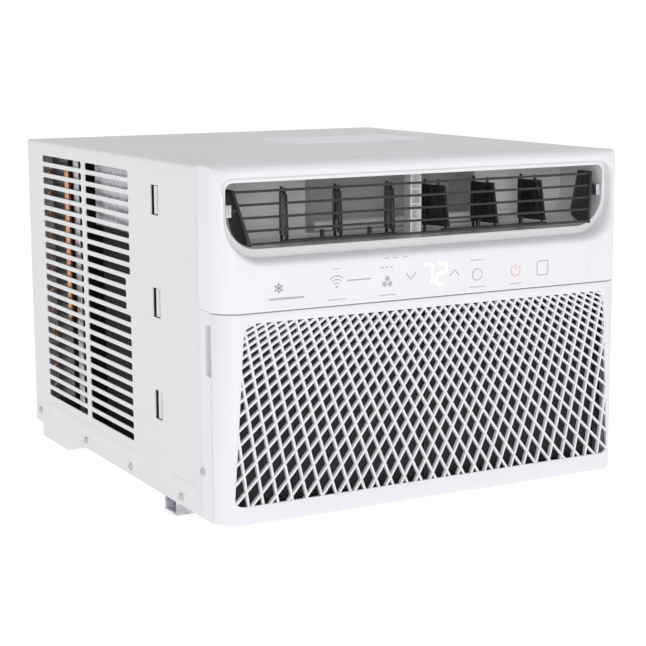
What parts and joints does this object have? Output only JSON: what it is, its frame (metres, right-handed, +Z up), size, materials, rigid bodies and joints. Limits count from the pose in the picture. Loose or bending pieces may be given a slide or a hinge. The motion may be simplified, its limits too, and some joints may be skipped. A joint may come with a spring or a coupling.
{
  "type": "window air conditioner",
  "caption": "Window air conditioner: white louvred steel cabinet, moulded front with a tipping lattice intake grille, touch fascia, and an outlet with a tilting louver and turning vanes.",
  "frame": {"origin": "on the ground under the middle of the overall box", "axes": "+Z up, -Y towards the room (the front face), +X to the right of someone facing the front"},
  "size_m": [0.4868, 0.551, 0.37],
  "materials": {
    "steel_white": "satin powder coat",
    "plastic_white": "fine satin",
    "plastic_black": "satin",
    "plastic_grey": "satin",
    "filter_mesh": "fine woven net",
    "display": "gloss",
    "circuit": "solder mask",
    "foam": "beaded foam",
    "zinc": "galvanised",
    "aluminium": "fine fins",
    "copper": "drawn copper",
    "enamel_black": "gloss enamel",
    "rubber": "matt"
  },
  "bodies": {
    "cabinet": {"cabinet_wrap": "steel_white", "base_pan": "steel_white", "foot_bracket_right": "zinc", "foot_bracket_left": "zinc", "side_screw_right_1": "zinc", "side_screw_right_2": "zinc", "side_screw_right_3": "zinc", "side_screw_right_4": "zinc", "side_screw_right_5": "zinc", "side_screw_left_1": "zinc", "side_screw_left_2": "zinc", "side_screw_left_3": "zinc", "side_screw_left_4": "zinc", "side_screw_left_5": "zinc", "front_bezel": "plastic_white", "grille_frame": "plastic_white", "control_overlay": "plastic_white", "display_module": "display", "control_board": "circuit", "pivot_clip_right": "zinc", "pivot_clip_left": "zinc", "vane_rail": "plastic_grey", "outlet_strut": "plastic_grey", "outlet_duct": "plastic_grey", "blower_scroll": "foam", "bulkhead": "zinc", "fan_motor": "enamel_black", "motor_stand": "zinc", "evaporator_coil": "aluminium", "condenser_coil": "aluminium", "fan_shroud": "plastic_black", "compressor": "enamel_black", "compressor_grommet_1": "rubber", "compressor_grommet_2": "rubber", "compressor_grommet_3": "rubber", "accumulator": "enamel_black", "discharge_tube": "copper", "suction_tube": "copper", "capillary_tube": "copper", "control_box": "zinc", "run_capacitor": "aluminium", "drain_plug": "rubber", "cord_gland": "rubber"},
    "grille": {"intake_grille": "plastic_white"},
    "air_filter": {"filter_frame": "plastic_black", "filter_mesh_left": "filter_mesh", "filter_mesh_right": "filter_mesh"},
    "louver": {"louver_frame": "plastic_black"},
    "vane_left_inner": {"vane_left_inner": "plastic_black"},
    "vane_left_middle": {"vane_left_middle": "plastic_black"},
    "vane_left_outer": {"vane_left_outer": "plastic_black"},
    "vane_right_inner": {"vane_right_inner": "plastic_black"},
    "vane_right_middle": {"vane_right_middle": "plastic_black"},
    "vane_right_outer": {"vane_right_outer": "plastic_black"},
    "link_left": {"vane_link_left": "plastic_black"},
    "link_right": {"vane_link_right": "plastic_black"},
    "rotor": {"fan_shaft": "zinc", "blower_wheel": "plastic_black", "condenser_fan": "plastic_black"}
  },
  "joints": [
    {"name": "grille_tip", "type": "hinge", "parent": "cabinet", "child": "grille", "pos_m": [0, -0.269, 0.0265], "axis": [1, 0, 0], "range_deg": [0, 55]},
    {"name": "filter_lift", "type": "slide", "parent": "grille", "child": "air_filter", "axis": [0, 0, 1], "range_m": [0, 0.045]},
    {"name": "louver_tilt", "type": "hinge", "parent": "cabinet", "child": "louver", "pos_m": [0, -0.2515, 0.327], "axis": [1, 0, 0], "range_deg": [-10, 8]},
    {"name": "vane_left_inner_turn", "type": "hinge", "parent": "cabinet", "child": "vane_left_inner", "pos_m": [-0.0232, -0.2185, 0.318], "axis": [0, 0, 1], "range_deg": [-20, 37]},
    {"name": "vane_left_middle_turn", "type": "hinge", "parent": "cabinet", "child": "vane_left_middle", "pos_m": [-0.0842, -0.2185, 0.318], "axis": [0, 0, 1], "range_deg": [-20, 37]},
    {"name": "vane_left_outer_turn", "type": "hinge", "parent": "cabinet", "child": "vane_left_outer", "pos_m": [-0.1452, -0.2185, 0.318], "axis": [0, 0, 1], "range_deg": [-20, 37]},
    {"name": "vane_right_inner_turn", "type": "hinge", "parent": "cabinet", "child": "vane_right_inner", "pos_m": [0.0232, -0.2185, 0.318], "axis": [0, 0, 1], "range_deg": [-37, 20]},
    {"name": "vane_right_middle_turn", "type": "hinge", "parent": "cabinet", "child": "vane_right_middle", "pos_m": [0.0842, -0.2185, 0.318], "axis": [0, 0, 1], "range_deg": [-37, 20]},
    {"name": "vane_right_outer_turn", "type": "hinge", "parent": "cabinet", "child": "vane_right_outer", "pos_m": [0.1452, -0.2185, 0.318], "axis": [0, 0, 1], "range_deg": [-37, 20]},
    {"name": "link_left_pin", "type": "hinge", "parent": "vane_left_middle", "child": "link_left", "pos_m": [-0.09297, -0.24614, 0.294], "axis": [0, 0, 1], "range_deg": [-37, 20]},
    {"name": "link_right_pin", "type": "hinge", "parent": "vane_right_middle", "child": "link_right", "pos_m": [0.09297, -0.24614, 0.294], "axis": [0, 0, 1], "range_deg": [-20, 37]},
    {"name": "rotor_spin", "type": "hinge", "parent": "cabinet", "child": "rotor", "pos_m": [-0.045, 0.0245, 0.184], "axis": [0, 1, 0], "continuous": true}
  ],
  "couplings": [
    {"joint": "vane_left_inner_turn", "follows": "vane_left_middle_turn", "ratio": 1},
    {"joint": "vane_left_outer_turn", "follows": "vane_left_middle_turn", "ratio": 1},
    {"joint": "link_left_pin", "follows": "vane_left_middle_turn", "ratio": -1},
    {"joint": "vane_right_inner_turn", "follows": "vane_right_middle_turn", "ratio": 1},
    {"joint": "vane_right_outer_turn", "follows": "vane_right_middle_turn", "ratio": 1},
    {"joint": "link_right_pin", "follows": "vane_right_middle_turn", "ratio": -1}
  ]
}
